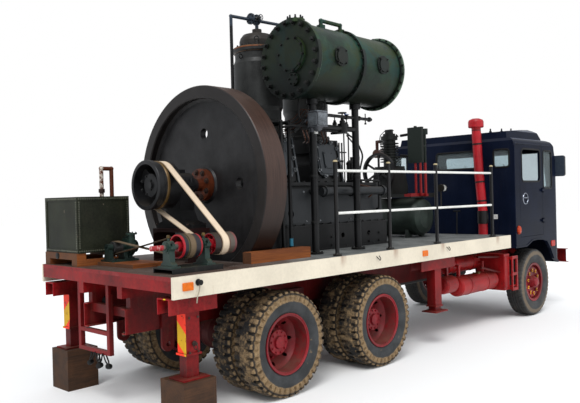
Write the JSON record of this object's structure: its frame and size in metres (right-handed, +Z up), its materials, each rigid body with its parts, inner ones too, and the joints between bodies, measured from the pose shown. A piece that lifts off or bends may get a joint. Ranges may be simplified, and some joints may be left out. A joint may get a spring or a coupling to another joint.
{
  "type": "flatbed lorry with mounted stationary engine",
  "caption": "Flatbed lorry with twin-tyred rear axles, guard rail and stabiliser legs, carrying a vertical stationary engine with a large flywheel, belt drive and receiver drum.",
  "frame": {"origin": "on the ground under the middle of the bounding box", "axes": "+X forward towards the cab, +Y to the lorry's left, +Z up"},
  "size_m": [8.87, 2.65, 4.432],
  "materials": {
    "belt": "matte",
    "belt_dark": "matte",
    "black_paint": "satin",
    "cream_paint": "satin",
    "dash": "matte",
    "deck_plate": "worn chequer plate",
    "drum_green": "worn",
    "dull_red": "matte",
    "engine_grey": "satin",
    "engine_iron": "painted, oily",
    "flywheel_iron": "brownish, shiny rim",
    "glass": "clear",
    "lamp": "clear lens",
    "navy_paint": "gloss",
    "red_paint": "worn satin",
    "rubber": "matte, dusty",
    "seat": "matte",
    "tank_green": "worn",
    "timber": "weathered",
    "white_paint": "satin"
  },
  "bodies": {
    "lorry": {"chassis": "red_paint", "deck_frame": "red_paint", "deck_floor": "deck_plate", "side_rails": "cream_paint", "rear_ladder": "red_paint", "leg_housings": "red_paint", "timbers": "timber", "bogie_axles": "dull_red", "bogie_springs": "dull_red", "front_axle": "dull_red", "driveline": "black_paint", "air_tanks": "red_paint", "side_box": "red_paint", "cab_shell": "navy_paint", "cab_glass": "glass", "cab_interior": "dash", "cab_seats": "seat", "mirrors": "black_paint", "headlamps": "lamp", "intake_stack": "red_paint", "guard_posts": "black_paint", "guard_rails": "white_paint", "outboard_bearing": "engine_iron", "engine_bed": "engine_iron", "engine_frames": "engine_grey", "cylinders": "engine_iron", "receiver_drum": "drum_green", "engine_pipes": "black_paint", "main_belt": "belt", "pump_belt": "belt_dark", "countershaft_stand": "drum_green", "pump": "drum_green", "cooling_tank": "tank_green", "aux_engine": "engine_iron", "aux_receiver": "drum_green"},
    "wheel_front_right": {"tyre_front_right": "rubber", "wheel_front_right": "red_paint"},
    "wheel_front_left": {"tyre_front_left": "rubber", "wheel_front_left": "red_paint"},
    "wheels_mid_right": {"tyres_mid_right": "rubber", "wheels_mid_right": "red_paint"},
    "wheels_mid_left": {"tyres_mid_left": "rubber", "wheels_mid_left": "red_paint"},
    "wheels_rear_right": {"tyres_rear_right": "rubber", "wheels_rear_right": "red_paint"},
    "wheels_rear_left": {"tyres_rear_left": "rubber", "wheels_rear_left": "red_paint"},
    "steering_right": {"knuckle_right": "dull_red"},
    "steering_left": {"knuckle_left": "dull_red"},
    "door_right": {"door_right": "navy_paint"},
    "door_left": {"door_left": "navy_paint"},
    "leg_rear_right": {"leg_rear_right": "red_paint"},
    "leg_rear_left": {"leg_rear_left": "red_paint"},
    "leg_front_right": {"leg_front_right": "red_paint"},
    "leg_front_left": {"leg_front_left": "red_paint"},
    "crank": {"flywheel": "flywheel_iron", "crankshaft": "flywheel_iron"},
    "countershaft": {"countershaft": "red_paint"},
    "pump_shaft": {"pump_pulley": "black_paint"},
    "aux_flywheel": {"aux_flywheel": "black_paint"}
  },
  "joints": [
    {"name": "steer_right", "type": "hinge", "parent": "lorry", "child": "steering_right", "pos_m": [3.135, -0.85, 0.562], "axis": [0, 0, 1], "range_deg": [-30, 30]},
    {"name": "steer_left", "type": "hinge", "parent": "lorry", "child": "steering_left", "pos_m": [3.135, 0.85, 0.562], "axis": [0, 0, 1], "range_deg": [-30, 30]},
    {"name": "spin_front_right", "type": "hinge", "parent": "steering_right", "child": "wheel_front_right", "pos_m": [3.135, -1.02, 0.562], "axis": [0, 1, 0], "continuous": true},
    {"name": "spin_front_left", "type": "hinge", "parent": "steering_left", "child": "wheel_front_left", "pos_m": [3.135, 1.02, 0.562], "axis": [0, 1, 0], "continuous": true},
    {"name": "spin_mid_right", "type": "hinge", "parent": "lorry", "child": "wheels_mid_right", "pos_m": [-1.26, -0.895, 0.562], "axis": [0, 1, 0], "continuous": true},
    {"name": "spin_mid_left", "type": "hinge", "parent": "lorry", "child": "wheels_mid_left", "pos_m": [-1.26, 0.895, 0.562], "axis": [0, 1, 0], "continuous": true},
    {"name": "spin_rear_right", "type": "hinge", "parent": "lorry", "child": "wheels_rear_right", "pos_m": [-2.93, -0.895, 0.562], "axis": [0, 1, 0], "continuous": true},
    {"name": "spin_rear_left", "type": "hinge", "parent": "lorry", "child": "wheels_rear_left", "pos_m": [-2.93, 0.895, 0.562], "axis": [0, 1, 0], "continuous": true},
    {"name": "door_right_hinge", "type": "hinge", "parent": "lorry", "child": "door_right", "pos_m": [3.4025, -1.214, 2.1], "axis": [0, 0, 1], "range_deg": [0, 70]},
    {"name": "door_left_hinge", "type": "hinge", "parent": "lorry", "child": "door_left", "pos_m": [3.4025, 1.214, 2.1], "axis": [0, 0, 1], "range_deg": [-70, 0]},
    {"name": "leg_rear_right_slide", "type": "slide", "parent": "lorry", "child": "leg_rear_right", "axis": [0, 0, 1], "range_m": [0, 0.2]},
    {"name": "leg_rear_left_slide", "type": "slide", "parent": "lorry", "child": "leg_rear_left", "axis": [0, 0, 1], "range_m": [0, 0.2]},
    {"name": "leg_front_right_slide", "type": "slide", "parent": "lorry", "child": "leg_front_right", "axis": [0, 0, 1], "range_m": [-0.4, 0.05]},
    {"name": "leg_front_left_slide", "type": "slide", "parent": "lorry", "child": "leg_front_left", "axis": [0, 0, 1], "range_m": [-0.4, 0.05]},
    {"name": "crank_spin", "type": "hinge", "parent": "lorry", "child": "crank", "pos_m": [-2.935, 0.06, 2.277], "axis": [1, 0, 0], "continuous": true},
    {"name": "countershaft_spin", "type": "hinge", "parent": "lorry", "child": "countershaft", "pos_m": [-3.935, -0.92, 1.665], "axis": [1, 0, 0], "continuous": true},
    {"name": "pump_spin", "type": "hinge", "parent": "lorry", "child": "pump_shaft", "pos_m": [-4.03, 0.33, 1.61], "axis": [1, 0, 0], "continuous": true},
    {"name": "aux_flywheel_spin", "type": "hinge", "parent": "lorry", "child": "aux_flywheel", "pos_m": [0.745, 0.3, 2.474], "axis": [1, 0, 0], "continuous": true}
  ],
  "couplings": [
    {"joint": "steer_left", "follows": "steer_right", "ratio": 1},
    {"joint": "countershaft_spin", "follows": "crank_spin", "ratio": 2.3636},
    {"joint": "pump_spin", "follows": "crank_spin", "ratio": -4.1818}
  ]
}
